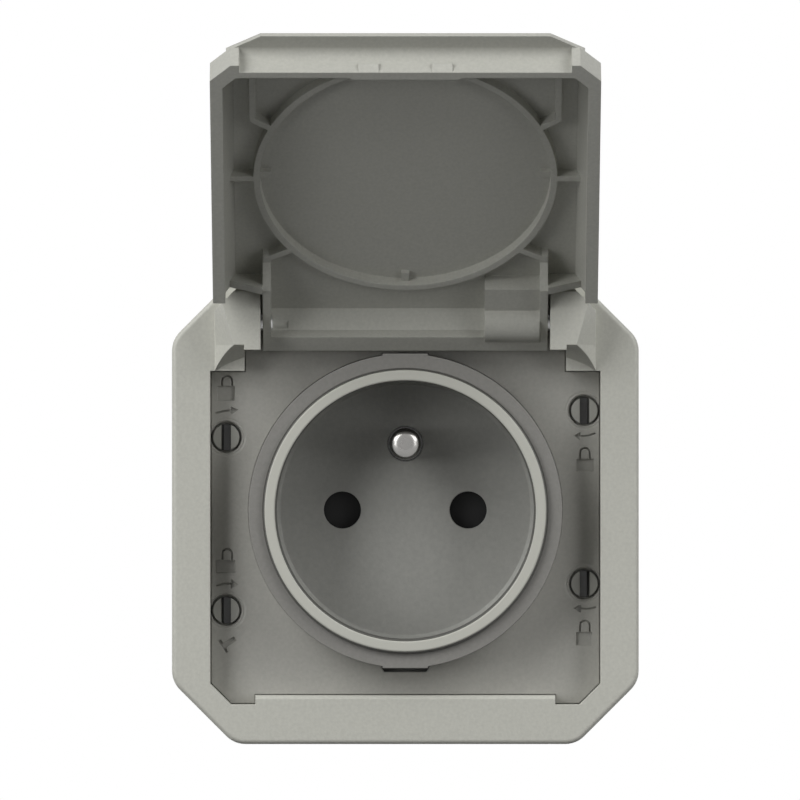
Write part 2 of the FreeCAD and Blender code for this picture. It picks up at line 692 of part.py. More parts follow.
def finger_recess():
    """Space taken out of the free edge so that it clears the frame's bar, with a hollow root."""
    root = LIP_V
    sink = RECESS_R * (1 - math.sqrt(0.5))
    start, middle, end = [lid_point(-RECESS_HALF, u, v) for u, v in
                          ((RECESS_U, root + RECESS_R), (RECESS_U + sink, root + sink),
                           (RECESS_U + RECESS_R, root))]
    far = [lid_point(-RECESS_HALF, u, v) for u, v in
           ((LID_END_U + MARGIN, root), (LID_END_U + MARGIN, RIM_V + MARGIN), (RECESS_U, RIM_V + MARGIN))]
    edges = [Part.Arc(start, middle, end).toShape()] + Part.makePolygon([end] + far + [start]).Edges
    return Part.Face(Part.Wire(edges)).extrude(Vector(2 * RECESS_HALF, 0, 0))


def finger_lip():
    """Thin lip along the free edge, resting just in front of the frame."""
    tip = LID_END_U + LIP_REACH
    end_x = LID_X - LID_CORNER + LIP_CORNER
    end_u = LID_END_U - LIP_CORNER
    inner = LID_END_U - BEVEL_END / 2
    outline = [(-end_x, end_u), (-LIP_FLAT_HALF, tip), (LIP_FLAT_HALF, tip), (end_x, end_u),
               (LIP_FLAT_HALF, inner), (-LIP_FLAT_HALF, inner)]
    return lid_plan(outline, LIP_V - LIP_T, LIP_V)


def catches():
    """Two small wedges on the free-edge wall that snap past the bar, and the thicker wall there."""
    ledge = RIM_V - CATCH_LENGTH
    root = RECESS_U - CATCH_ROOT
    profile = [(root, ledge), (RECESS_U, ledge), (RECESS_U + CATCH_RISE, ledge + CATCH_RISE / 2),
               (RECESS_U + CATCH_RISE, ledge + CATCH_RISE), (RECESS_U, RIM_V), (root, RIM_V)]
    right = lid_side(profile, CATCH_X, CATCH_X + CATCH_W)
    back_u = INNER_END_U - CATCH_BACK
    outline = [(-CATCH_BACK_HALF, INNER_END_U + CATCH_ROOT), (CATCH_BACK_HALF, INNER_END_U + CATCH_ROOT),
               (CATCH_BACK_HALF, INNER_END_U), (CATCH_BACK_HALF - CATCH_BACK, back_u),
               (CATCH_BACK - CATCH_BACK_HALF, back_u), (-CATCH_BACK_HALF, INNER_END_U)]
    return [right, mirror_x(right), lid_plan(outline, LIP_V, RIM_V)]


def pin_barrel():
    """Round housing over the right hinge pin, with a block that ties it to the floor."""
    end = CHEEK_IN
    barrel = cross_bar(BARREL_R, BARREL_X, end)
    foot = lid_side([(0, LID_FLOOR_V - LID_FLOOR_T / 2), (BLOCK_U, LID_FLOOR_V - LID_FLOOR_T / 2),
                     (BLOCK_U, BLOCK_TOP_V), (0, BLOCK_TOP_V)], BARREL_X, end)
    return barrel.fuse(foot)


def lid():
    """Deep lid moulding, built closed and then swung open."""
    hull = lid_hull()
    body = hull.cut(lid_cavity())
    beyond = lid_side(end_band(-4 * MARGIN), CHEEK_OUT, HALF)
    middle = lid_side([(-LID_R - MARGIN, -LID_R - MARGIN), (CHEEK_END_U, -LID_R - MARGIN),
                       (CHEEK_END_U, RIM_V + MARGIN), (-LID_R - MARGIN, RIM_V + MARGIN)],
                      -CHEEK_OUT, CHEEK_OUT)
    body = body.cut([beyond, mirror_x(beyond), middle, finger_recess()])
    right_wall = end_wall().common(hull)
    right_cheek = cheek()
    pieces = [hinge_wall(), right_cheek, mirror_x(right_cheek), right_wall, mirror_x(right_wall),
              lid_ring(), finger_lip(), pin_barrel()] + catches()
    for one in lid_ribs():
        inside = one.common(hull)
        pieces += [inside, mirror_x(inside)]
    body = clean(body.fuse(pieces))
    bore = HINGE_PIN_R + HINGE_FIT
    body = body.cut(cross_bar(bore, CHEEK_IN - MARGIN / 2, CHEEK_OUT + MARGIN))
    body = body.cut(cross_bar(bore, -CHEEK_OUT - MARGIN, -CHEEK_IN + MARGIN / 2))
    body = body.cut(cross_bar(bore + SLEEVE_T + HINGE_FIT, BARREL_X + BARREL_END_T, CHEEK_IN))
    return swing(clean(body))


def swing(shape):
    """Turn a closed lid piece to the open rest position."""
    shape.rotate(at(0, HINGE_C, HINGE_Z), Vector(1, 0, 0), -OPEN_ANGLE)
    return shape


def hinge_pin(x0):
    """Right hinge pin from inside the lid into the ear's blind bore."""
    return cross_bar(HINGE_PIN_R, x0, EAR_IN + HINGE_PIN_DEPTH)


def friction_sleeve():
    """Split sleeve in the barrel that grips the pin and holds the lid where it is put."""
    inner = HINGE_PIN_R + HINGE_FIT
    x0 = BARREL_X + BARREL_END_T + HINGE_FIT
    x1 = CHEEK_IN - HINGE_FIT
    tube = cross_bar(inner + SLEEVE_T, x0, x1).cut(cross_bar(inner, x0 - OVERCUT, x1 + OVERCUT))
    slit = lid_side([(0, -SLEEVE_SLIT / 2), (BARREL_R, -SLEEVE_SLIT / 2),
                     (BARREL_R, SLEEVE_SLIT / 2), (0, SLEEVE_SLIT / 2)], x0 - OVERCUT, x1 + OVERCUT)
    return swing(tube.cut(slit))


def earth_pin():
    """Domed earth pin: wider root in the floor, collar behind it and a riveted tail."""
    tip = FLOOR_FRONT + EARTH_REACH
    rod = round_bar(PIN_R, 0, EARTH_Z, FLOOR_REAR, tip)
    rod = rod.makeFillet(EARTH_DOME, edges_at(rod, tip))
    root = round_bar(EARTH_ROOT_R, 0, EARTH_Z, FLOOR_REAR, FLOOR_FRONT + EARTH_ROOT_RISE)
    collar = round_bar(EARTH_COLLAR_R, 0, EARTH_Z, FLOOR_REAR - EARTH_COLLAR_T, FLOOR_REAR)
    tail_end = FLOOR_REAR - EARTH_COLLAR_T - STRAP_T
    tail = round_bar(EARTH_TAIL_R, 0, EARTH_Z, tail_end, FLOOR_REAR)
    return clean(rod.fuse([root, collar, tail]))


def cage(x, z, along_x):
    """Screw terminal cage: hollow along the wire's way, with a screw hole at the rear."""
    half_w = CAGE_W / 2
    half_h = CAGE_H / 2
    rear = CAGE_REAR
    size = (half_h, half_w) if along_x else (half_w, half_h)
    body = block(x - size[0], x + size[0], rear, CAGE_FRONT, z - size[1], z + size[1])
    core = half_w - CAGE_WALL
    hollow = (half_h + OVERCUT, core) if along_x else (core, half_h + OVERCUT)
    body = body.cut(block(x - hollow[0], x + hollow[0], rear + CAGE_WALL, CAGE_FRONT - CAGE_WALL,
                          z - hollow[1], z + hollow[1]))
    screw_hole = round_bar(TERMINAL_SCREW_R + SCREW_FIT, x, z, rear - OVERCUT, rear + CAGE_WALL + OVERCUT)
    return body.cut(screw_hole)


def cage_places():
    """X, Z and wire direction of the three terminal cages."""
    side = POLE_X + CAGE_OFFSET
    top = EARTH_Z + CAGE_OFFSET
    return [(-side, 0.0, False), (side, 0.0, False), (0.0, top, True)]


def pole_contact(side):
    """Slotted contact sleeve, its strap and its terminal cage."""
    x = side * POLE_X
    inner = PIN_R + CONTACT_GRIP
    outer = inner + SLEEVE_WALL
    rear = CONTACT_FRONT - SLEEVE_LENGTH
    tube = round_bar(outer, x, 0, rear, CONTACT_FRONT)
    tube = tube.cut(round_bar(inner, x, 0, rear - OVERCUT, CONTACT_FRONT + OVERCUT))
    slit = block(x - outer - OVERCUT, x + outer + OVERCUT, rear + SLEEVE_LENGTH / 4, CONTACT_FRONT + OVERCUT,
                 -SLEEVE_WALL / 2, SLEEVE_WALL / 2)
    end = side * (POLE_X + CAGE_OFFSET + CAGE_W / 2)
    near = side * (POLE_X - outer)
    strap = block(min(near, end), max(near, end), rear - STRAP_T, rear, -outer, outer)
    return clean(tube.cut(slit).fuse([strap, cage(side * (POLE_X + CAGE_OFFSET), 0.0, False)]))


def earth_strap():
    """Strip from the earth pin's tail back to its terminal cage."""
    front = FLOOR_REAR - EARTH_COLLAR_T
    top = EARTH_Z + CAGE_OFFSET + CAGE_W / 2
    half = CAGE_W / 2
    plate = block(-half, half, front - STRAP_T, front, EARTH_Z - EARTH_COLLAR_R, top)
    tail_hole = round_bar(EARTH_TAIL_R + SCREW_FIT, 0, EARTH_Z, front - STRAP_T - OVERCUT, front + OVERCUT)
    plate = plate.cut(tail_hole)
    leg = block(-half, half, CAGE_FRONT, front, top - STRAP_T, top)
    return clean(plate.fuse([leg, cage(0.0, EARTH_Z + CAGE_OFFSET, True)]))


def shutter():
    """Safety shutter that covers both pole holes until two pins push it down."""
    rear = SHUTTER_FRONT - SHUTTER_GAP - SHUTTER_T
    front = SHUTTER_FRONT - SHUTTER_GAP
    high = SHUTTER_TRAVEL + SHUTTER_ABOVE
    wing = block(POLE_X - SHUTTER_HALF + POLE_X, SHUTTER_HALF, rear, front, -SHUTTER_BELOW, high)
    bridge = block(-SHUTTER_HALF, SHUTTER_HALF, rear, front, -SHUTTER_BELOW, SHUTTER_BRIDGE)
    foot = block(-SPRING_R, SPRING_R, SPRING_SEAT - SPRING_R, front, -SHUTTER_BELOW,
                 SHUTTER_FOOT_T - SHUTTER_BELOW)
    body = bridge.fuse([wing, mirror_x(wing), foot])
    for side in (-1, 1):
        window = round_bar(POLE_HOLE_R, side * POLE_X, SHUTTER_TRAVEL, rear - OVERCUT, front + OVERCUT)
        body = body.cut(window)
    return clean(body)


def shutter_spring():
    """Coil spring of square wire under the shutter's foot, axis along Z."""
    pitch = SPRING_LENGTH / SPRING_TURNS
    helix = Part.makeHelix(pitch, SPRING_LENGTH - SPRING_WIRE, SPRING_R - SPRING_WIRE / 2)
    start = Vector(SPRING_R - SPRING_WIRE / 2, 0, 0)
    half = SPRING_WIRE / 2
    corners = [start + Vector(x, 0, z)
               for x, z in ((-half, -half), (half, -half), (half, half), (-half, half))]
    section = Part.makePolygon(corners + [corners[0]])
    coil = Part.Wire(helix.Edges).makePipeShell([section], True, True)
    low = -SHUTTER_BELOW - SPRING_LENGTH + SPRING_WIRE / 2
    coil.translate(at(0, SPRING_SEAT, low))
    return coil


def mechanism_base():
    """Rear housing with the shutter's track and the pockets of the contacts."""
    body = front_prism(chamfered_square(BASE_HALF, BASE_CORNER), BASE_REAR, FLOOR_REAR)
    gap = SHUTTER_GAP
    low = -SHUTTER_BELOW - SHUTTER_TRAVEL - gap
    high = SHUTTER_TRAVEL + SHUTTER_ABOVE + gap
    track = block(-SHUTTER_HALF - gap, SHUTTER_HALF + gap, CONTACT_FRONT, FLOOR_REAR + OVERCUT, low, high)
    spring_low = -SHUTTER_BELOW - SPRING_LENGTH - SPRING_WIRE / 2
    well = block(-SPRING_ROOM, SPRING_ROOM, SPRING_SEAT - SPRING_ROOM, FLOOR_REAR + OVERCUT, spring_low, 0)
    cuts = [track, well]
    rear = CONTACT_FRONT - SLEEVE_LENGTH
    outer = PIN_R + CONTACT_GRIP + SLEEVE_WALL
    pocket = POCKET_GAP
    for side in (-1, 1):
        cuts.append(round_bar(outer + pocket, side * POLE_X, 0, rear, CONTACT_FRONT + OVERCUT))
        near = side * (POLE_X - outer - pocket)
        end = side * (POLE_X + CAGE_OFFSET + CAGE_W / 2 + pocket)
        half = outer + pocket
        cuts.append(block(min(near, end), max(near, end), BASE_REAR - OVERCUT, rear, -half, half))
    half = CAGE_W / 2 + pocket
    cuts.append(block(-half, half, FLOOR_REAR - EARTH_COLLAR_T - STRAP_T, FLOOR_REAR + OVERCUT,
                      EARTH_Z - EARTH_COLLAR_R - pocket, EARTH_Z + CAGE_OFFSET + half))
    leg_top = EARTH_Z + CAGE_OFFSET + half
    cuts.append(block(-half, half, BASE_REAR - OVERCUT, FLOOR_REAR, leg_top - STRAP_T - 2 * pocket, leg_top))
    for x, z, along_x in cage_places():
        half_w = CAGE_W / 2 + pocket
        half_h = CAGE_H / 2 + pocket
        size = (half_h, half_w) if along_x else (half_w, half_h)
        cuts.append(block(x - size[0], x + size[0], BASE_REAR - OVERCUT, CAGE_FRONT,
                          z - size[1], z + size[1]))
        cuts.append(wire_way(x, z, along_x))
    for x, z in base_screw_places():
        cuts.append(round_bar(BOSS_R + pocket, x, z, FLOOR_REAR - BOSS_LENGTH, FLOOR_REAR + OVERCUT))
        cuts.append(round_bar(BASE_SCREW_R + SCREW_FIT, x, z, BASE_REAR - OVERCUT, FLOOR_REAR))
        seat = COVER_FRONT
        cuts.append(round_bar(BASE_SCREW_HEAD_R + pocket, x, z, seat, seat + BASE_SCREW_HEAD_T))
    cover = front_prism(chamfered_square(BASE_HALF - COVER_INSET, BASE_CORNER), BASE_REAR - OVERCUT,
                        COVER_FRONT)
    return clean(body.cut(cuts + [cover]))


def wire_way(x, z, along_x):
    """Square channel that lets a wire into a cage from the side of the housing."""
    half = WIRE_SLOT / 2
    middle = CAGE_FRONT - CAGE_DEPTH / 2
    if along_x:
        return block(x, BASE_HALF + OVERCUT, middle - half, middle + half, z - half, z + half)
    return block(x - half, x + half, middle - half, middle + half, -BASE_HALF - OVERCUT, z)


def terminal_cover():
    """Rear cover with a hole over each terminal screw and each housing screw."""
    outline = chamfered_square(BASE_HALF - COVER_INSET - POCKET_GAP, BASE_CORNER)
    body = front_prism(outline, BASE_REAR, COVER_FRONT)
    for x, z, along_x in cage_places():
        body = body.cut(round_bar(TERMINAL_HEAD_R + 2 * POCKET_GAP, x, z, BASE_REAR - OVERCUT,
                                  COVER_FRONT + OVERCUT))
    return body


def slotted_screw(x, z, seat, tip, radius, head_r, head_t):
    """Screw entered from the rear: slotted head behind the seat, shank up to the tip."""
    head = round_bar(head_r, x, z, seat - head_t, seat)
    slot = block(x - SCREW_SLOT_W / 2, x + SCREW_SLOT_W / 2, seat - head_t - OVERCUT, seat - head_t / 2,
                 z - head_r - OVERCUT, z + head_r + OVERCUT)
    return clean(head.cut(slot).fuse(round_bar(radius, x, z, seat, tip)))


def terminal_screws():
    """The three clamp screws of the terminal cages."""
    seat = CAGE_REAR
    tip = seat + CAGE_WALL + SCREW_BITE
    return [slotted_screw(x, z, seat, tip, TERMINAL_SCREW_R, TERMINAL_HEAD_R, TERMINAL_HEAD_T)
            for x, z, along_x in cage_places()]


def panel_screws():
    """Four screws that hold the flange to the panel."""
    seat = LEDGE_T - FLANGE_T
    tip = PANEL_FRONT - PANEL_SCREW_SKIN - SCREW_TIP_GAP
    return [slotted_screw(x, z, seat, tip, PANEL_SCREW_R, PANEL_SCREW_HEAD_R, PANEL_SCREW_HEAD_T)
            for x, z in corner_places(PANEL_SCREW_AT)]


def base_screws():
    """Two screws that draw the rear housing to the well's bosses."""
    seat = COVER_FRONT + BASE_SCREW_HEAD_T
    tip = FLOOR_REAR - SCREW_TIP_GAP
    return [slotted_screw(x, z, seat, tip, BASE_SCREW_R, BASE_SCREW_HEAD_R, BASE_SCREW_HEAD_T)
            for x, z in base_screw_places()]


def write(name, shape):
    """Store one named piece, or a group of like pieces, as a STEP file."""
    solids = shape if isinstance(shape, list) else shape.Solids
    whole = Part.makeCompound(solids) if len(solids) > 1 else solids[0]
    whole.exportStep("parts/" + name + ".step")
    print(name, len(solids), "solids", round(sum(s.Volume for s in solids), 1), "mm3")


PIECES = {
    "front_frame": front_frame,
    "frame_seal": frame_seal,
    "inner_panel": inner_panel,
    "socket_cup": socket_cup,
    "collar_seal": collar_seal,
    "lid": lid,
    "friction_sleeve": friction_sleeve,
    "earth_pin": earth_pin,
    "earth_strap": earth_strap,
    "shutter": shutter,
    "shutter_spring": shutter_spring,
    "mechanism_base": mechanism_base,
    "terminal_cover": terminal_cover,
    "terminal_screws": terminal_screws,
    "panel_screws": panel_screws,
    "base_screws": base_screws,
}

os.makedirs("parts", exist_ok=True)
for piece_name, make in PIECES.items():
    write(piece_name, make())

write("lid_pin_right", hinge_pin(BARREL_X + BARREL_END_T + PIN_END))
write("lid_pin_left", mirror_x(hinge_pin(CHEEK_IN - PIN_END)))
write("contact_left", pole_contact(-1))
write("contact_right", pole_contact(1))

for lock_name, lock_x, lock_z, lock_side in lock_places():
    write(lock_name, quarter_turn_lock(lock_x, lock_z, lock_side))
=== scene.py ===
import json
import math
import bmesh
import bpy
import numpy as np
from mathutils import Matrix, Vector


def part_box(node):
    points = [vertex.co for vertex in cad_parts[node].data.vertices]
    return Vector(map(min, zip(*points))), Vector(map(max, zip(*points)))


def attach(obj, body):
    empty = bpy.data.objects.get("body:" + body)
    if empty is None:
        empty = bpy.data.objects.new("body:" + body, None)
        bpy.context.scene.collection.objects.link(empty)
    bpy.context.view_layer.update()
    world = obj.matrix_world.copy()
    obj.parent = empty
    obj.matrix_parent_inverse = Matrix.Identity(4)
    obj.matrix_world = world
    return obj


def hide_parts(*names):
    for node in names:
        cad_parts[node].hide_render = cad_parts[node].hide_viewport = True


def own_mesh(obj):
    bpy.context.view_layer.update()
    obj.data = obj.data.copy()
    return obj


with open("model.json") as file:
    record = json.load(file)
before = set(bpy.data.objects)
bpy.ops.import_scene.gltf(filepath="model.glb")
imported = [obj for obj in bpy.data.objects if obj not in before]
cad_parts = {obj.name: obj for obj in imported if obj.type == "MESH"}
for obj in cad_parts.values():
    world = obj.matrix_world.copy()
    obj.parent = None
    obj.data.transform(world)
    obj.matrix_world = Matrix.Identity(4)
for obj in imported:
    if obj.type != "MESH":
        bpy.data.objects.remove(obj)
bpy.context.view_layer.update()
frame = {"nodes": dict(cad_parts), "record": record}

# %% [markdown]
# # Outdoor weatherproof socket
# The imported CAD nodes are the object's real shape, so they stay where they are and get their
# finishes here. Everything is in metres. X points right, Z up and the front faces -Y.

MM = 0.001


# %% [markdown]
# ## Moulded plastic
# A spark-eroded mould leaves a fine grain on plastic, and the edges of a moulding are never
# sharp. Both are in the shader: noise in object space drives a shallow bump, a second noise
# shifts the colour by a few percent, and the bevel node rounds the edges that light catches.

# %% Shader helpers
def shader(name, colour, roughness, specular=0.5, metallic=0.0):
    """New material with its principled shader; constants are set on the shader's sockets."""
    material = bpy.data.materials.new(name)
    material.use_nodes = True
    tree = material.node_tree
    bsdf = tree.nodes["Principled BSDF"]
    bsdf.inputs["Base Color"].default_value = (*colour, 1.0)
    bsdf.inputs["Roughness"].default_value = roughness
    bsdf.inputs["Specular IOR Level"].default_value = specular
    bsdf.inputs["Metallic"].default_value = metallic
    return material, tree, bsdf


def noise(tree, scale, detail=2.0):
    """Noise texture in object space; scale is in cells per metre."""
    place = tree.nodes.new("ShaderNodeTexCoord")
    node = tree.nodes.new("ShaderNodeTexNoise")
    node.inputs["Scale"].default_value = scale
    node.inputs["Detail"].default_value = detail
    tree.links.new(place.outputs["Object"], node.inputs["Vector"])
    return node


def tinted(tree, bsdf, colour, source, spread):
    """Base colour that swings by a share of itself, with the noise value from 0.3 to 0.7."""
    ramp = tree.nodes.new("ShaderNodeValToRGB")
    low, high = ramp.color_ramp.elements
    low.position, high.position = 0.3, 0.7
    low.color = (*[c * (1 - spread) for c in colour], 1.0)
    high.color = (*[c * (1 + spread) for c in colour], 1.0)
    tree.links.new(source.outputs["Fac"], ramp.inputs["Fac"])
    tree.links.new(ramp.outputs["Color"], bsdf.inputs["Base Color"])


def moulded(name, colour, roughness, grain=3500.0, depth=0.012, edge=0.2, spread=0.05, specular=0.4):
    """Grained plastic: colour noise, bump of a given depth in mm, edges rounded by edge mm."""
    material, tree, bsdf = shader(name, colour, roughness, specular)
    tinted(tree, bsdf, colour, noise(tree, grain * 0.6, 3.0), spread)
    bump = tree.nodes.new("ShaderNodeBump")
    bump.inputs["Strength"].default_value = 1.0
    bump.inputs["Distance"].default_value = depth * MM
    tree.links.new(noise(tree, grain, 2.0).outputs["Fac"], bump.inputs["Height"])
    if edge:
        bevel = tree.nodes.new("ShaderNodeBevel")
        bevel.samples = 6
        bevel.inputs["Radius"].default_value = edge * MM
        tree.links.new(bevel.outputs["Normal"], bump.inputs["Normal"])
    tree.links.new(bump.outputs["Normal"], bsdf.inputs["Normal"])
    return material


def tone_in_front(material, colour, edge):
    """Another colour on all that lies in front of a plane, where object Y is under the edge."""
    tree = material.node_tree
    bsdf = tree.nodes["Principled BSDF"]
    behind = bsdf.inputs["Base Color"].links[0].from_socket
    place = tree.nodes.new("ShaderNodeTexCoord")
    parts = tree.nodes.new("ShaderNodeSeparateXYZ")
    tree.links.new(place.outputs["Object"], parts.inputs["Vector"])
    front = tree.nodes.new("ShaderNodeMath")
    front.operation = "LESS_THAN"
    front.inputs[1].default_value = edge
    tree.links.new(parts.outputs["Y"], front.inputs[0])
    mix = tree.nodes.new("ShaderNodeMix")
    mix.data_type = "RGBA"
    tree.links.new(front.outputs["Value"], mix.inputs["Factor"])
    tree.links.new(behind, mix.inputs["A"])
    mix.inputs["B"].default_value = (*colour, 1.0)
    tree.links.new(mix.outputs["Result"], bsdf.inputs["Base Color"])


def plated(name, colour, roughness, scratch=900.0):
    """Metal whose roughness swings a little with a noise in object space."""
    material, tree, bsdf = shader(name, colour, roughness, metallic=1.0)
    spread = tree.nodes.new("ShaderNodeMapRange")
    spread.inputs["To Min"].default_value = roughness * 0.8
    spread.inputs["To Max"].default_value = roughness * 1.3
    source = noise(tree, scratch, 4.0)
    tree.links.new(source.outputs["Fac"], spread.inputs["Value"])
    tree.links.new(spread.outputs["Result"], bsdf.inputs["Roughness"])
    tinted(tree, bsdf, colour, source, 0.04)
    return material


# %% [markdown]
# The frame is light grey and the lid a touch darker. The panel is darker again, the collar is a
# soft dark grey moulding, and only the earth pin is polished. Three pieces change their tone at a
# depth, and the darker tones are painted shade. The well is one moulding: its ring keeps a light
# grey, its floor is painted a shade darker and its walls are painted dark. The locks are painted
# dark behind the front of their heads, as shade in the slot, and the pin is painted dark at its
# root, where it meets the floor. Their materials compare object Y with a plane, so the change
# stays with the piece from every side. The inner pieces get finishes as well, because they show
# when the model is taken apart.

# %% Finishes
FINISH = {
    "light_grey": moulded("light_grey_plastic", (0.43, 0.43, 0.39), 0.45),
    "frame_grey": moulded("frame_grey_plastic", (0.51, 0.51, 0.46), 0.45),
    "mid_grey": moulded("mid_grey_plastic", (0.385, 0.38, 0.35), 0.45),
    # The floor's colour below is a painted shade, darker than the light grey given to the well's ring.
    "well_grey": moulded("well_grey_plastic", (0.37, 0.37, 0.345), 0.5, grain=2600.0, depth=0.02),
    "collar": moulded("collar_rubber", (0.225, 0.22, 0.205), 0.7, grain=3000.0, depth=0.02),
    "seal": moulded("seal_rubber", (0.03, 0.03, 0.03), 0.7, edge=0.0),
    # The lock's near-black colour is a painted shade for the slot; only the front of the head gets grey
    # below.
    "lock": moulded("lock_grey_plastic", (0.04, 0.04, 0.038), 0.35, edge=0.1),
    "dark": moulded("shutter_plastic", (0.012, 0.012, 0.012), 0.6, edge=0.1, specular=0.2),
    "base": moulded("base_plastic", (0.12, 0.12, 0.12), 0.5),
    # The pin's near-black colour is a painted shade at its root, where it meets the floor; the rest of
    # the pin gets grey below.
    "nickel": plated("nickel_plate", (0.05, 0.05, 0.05), 0.24),
    "brass": plated("contact_brass", (0.75, 0.58, 0.30), 0.3),
    "steel": plated("plain_steel", (0.55, 0.55, 0.55), 0.35),
}

# Millimetres: the well's depth, and how far behind a front face, or in front of the well's floor,
# a tone changes. The darker tones are painted shade.
WELL_DEPTH = 15.2
RING_SKIN, HEAD_SKIN, ROOT_HEIGHT, FLOOR_FILLET = 0.12, 0.3, 0.4, 0.6
ring_front = float(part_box("socket_cup")[0][1])
head_front = float(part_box("lock_upper_left")[0][1])
# Painted shade: the walls of the well are painted dark, from the ring back to the fillet at the floor.
tone_in_front(FINISH["well_grey"], (0.10, 0.10, 0.09), ring_front + (WELL_DEPTH - FLOOR_FILLET) * MM)
# The front of the ring gets the moulding's light grey; the floor behind it keeps its painted darker
# shade.
tone_in_front(FINISH["well_grey"], (0.50, 0.50, 0.45), ring_front + RING_SKIN * MM)
# Painted shade: the pin is grey except its root next to the floor, which keeps the painted dark colour.
tone_in_front(FINISH["nickel"], (0.26, 0.255, 0.245), ring_front + (WELL_DEPTH - ROOT_HEIGHT) * MM)
# Painted shade: only the front of each lock's head is grey; behind it, in the slot, the lock keeps its
# painted dark colour.
tone_in_front(FINISH["lock"], (0.34, 0.34, 0.31), head_front + HEAD_SKIN * MM)

WEARS = {
    "frame_grey": ["front_frame"],
    "light_grey": ["lid"],
    "mid_grey": ["inner_panel"],
    "well_grey": ["socket_cup"],
    "collar": ["collar_seal"],
    "seal": ["frame_seal"],
    "lock": ["lock_upper_left", "lock_lower_left", "lock_upper_right", "lock_lower_right"],
    "dark": ["shutter"],
    "base": ["mechanism_base", "terminal_cover"],
    "nickel": ["earth_pin"],
    "brass": ["contact_left", "contact_right", "earth_strap"],
    "steel": ["shutter_spring", "friction_sleeve", "lid_pin_left", "lid_pin_right",
              "terminal_screws", "panel_screws", "base_screws"],
}
for finish, names in WEARS.items():
    for name in names:
        mesh = frame["nodes"][name].data
        mesh.materials.clear()
        mesh.materials.append(FINISH[finish])
print("finishes", len(FINISH), "on", sum(len(names) for names in WEARS.values()), "nodes")


# %% [markdown]
# ## Signs sunk into the panel
# Beside each lock the mould leaves a small padlock and an arrow that show which way to turn it,
# and below the lower left lock a little pulling tool. They are sunk by less than half a
# millimetre, so their edges catch light and shade. A texture could only darken them. Here each
# sign is an outline pushed back into a thin prism, and a boolean takes it out of a copy of the
# panel. The outlines are in millimetres, in X and Z.

# %% Lines, padlocks, arrows and the tool
LINE = 0.23


def stroke(points, width):
    """Closed outline of a bent line: each point moves half a width along its mean normal."""
    points = np.asarray(points, float)
    along = np.gradient(points, axis=0)
    along /= np.linalg.norm(along, axis=1)[:, None]
    across = np.stack([-along[:, 1], along[:, 0]], axis=1) * width / 2
    return np.concatenate([points + across, (points - across)[::-1]])


def padlock(x, top, radius, leg_ends, body):
    """A shackle, half a ring with two straight legs, above a rectangular body."""
    turn = np.linspace(0.0, np.pi, 17)
    middle = radius - LINE / 2
    bow = np.stack([x + middle * np.cos(turn), top - radius + middle * np.sin(turn)], axis=1)
    right, left = leg_ends
    line = np.concatenate([[[x + middle, right]], bow, [[x - middle, left]]])
    x0, x1, z0, z1 = body
    return [stroke(line, LINE), np.array([[x0, z0], [x1, z0], [x1, z1], [x0, z1]])]


def arrow(tail, bend, tip, barbs):
    """A shaft bent at one point, which widens into a three-cornered head."""
    barbs = np.asarray(barbs, float)
    shaft = stroke([tail, bend, barbs.mean(axis=0)], LINE)
    near = int(np.argmin(np.linalg.norm(barbs - shaft[2], axis=1)))
    return [np.concatenate([shaft[:3], barbs[near:near + 1], [tip], barbs[1 - near:2 - near], shaft[3:]])]


def puller(middle, end, reach, width, thickness):
    """A cross bar at the middle point with a stem to the end point, like a letter T."""
    middle, end = np.asarray(middle, float), np.asarray(end, float)
    along = (end - middle) / np.linalg.norm(end - middle)
    across = np.array([-along[1], along[0]])
    t, w = along * thickness / 2, across * width / 2
    bar = across * reach
    return [np.array([middle + bar - t, middle + bar + t, middle + w + t, end + w,
                      end - w, middle - w + t, middle - bar + t, middle - bar - t])]


SIGNS = (
    padlock(-26.79, 20.32, 0.88, (18.76, 18.43), (-28.25, -25.66, 16.52, 18.70))
    + arrow((-28.5, 14.6), (-27.3, 14.95), (-25.16, 15.1), [(-26.18, 15.59), (-26.18, 14.44)])
    + padlock(-26.75, -5.67, 0.83, (-7.42, -7.42), (-28.44, -25.58, -9.38, -7.48))
    + arrow((-28.42, -11.31), (-27.3, -10.95), (-25.09, -11.19), [(-26.08, -10.35), (-26.18, -11.7)])
    + padlock(26.99, 9.51, 0.84, (7.81, 7.81), (25.74, 28.33, 5.92, 7.75))
    + arrow((28.57, 11.6), (27.4, 11.2), (25.4, 11.25), [(26.33, 11.76), (26.24, 10.59)])
    + padlock(26.99, -16.44, 0.84, (-18.22, -18.22), (25.68, 28.04, -20.24, -18.28))
    + arrow((28.64, -14.52), (27.5, -14.8), (25.32, -14.69), [(26.33, -14.19), (26.33, -15.3)])
    + puller((-27.34, -20.39), (-25.58, -19.25), 1.05, 0.75, 0.38)
)
print("signs", len(SIGNS))


# %% [markdown]
# ## Cutters
# The prisms reach a little in front of the panel, so that no face of theirs lies in its plane.
# Round each lock the real panel also has a shallow dished ring, from the tool that clears the
# head. It is a torus whose lower edge dips into the panel, a function of two angles.

# %% Prism and ring for the boolean
def prism(outline, front, back):
    """Closed prism: an outline at two depths, two end faces and a strip of quads between."""
    x, z = np.asarray(outline).T
    if np.sum(x * np.roll(z, -1) - z * np.roll(x, -1)) < 0:
        x, z = x[::-1], z[::-1]
    n = len(x)
    verts = np.concatenate([np.column_stack([x, np.full(n, depth), z]) for depth in (front, back)])
    here = np.arange(n)
    after = np.roll(here, -1)
    sides = np.column_stack([after, here, here + n, after + n]).tolist()
    return verts, [here.tolist(), (here + n)[::-1].tolist()] + sides


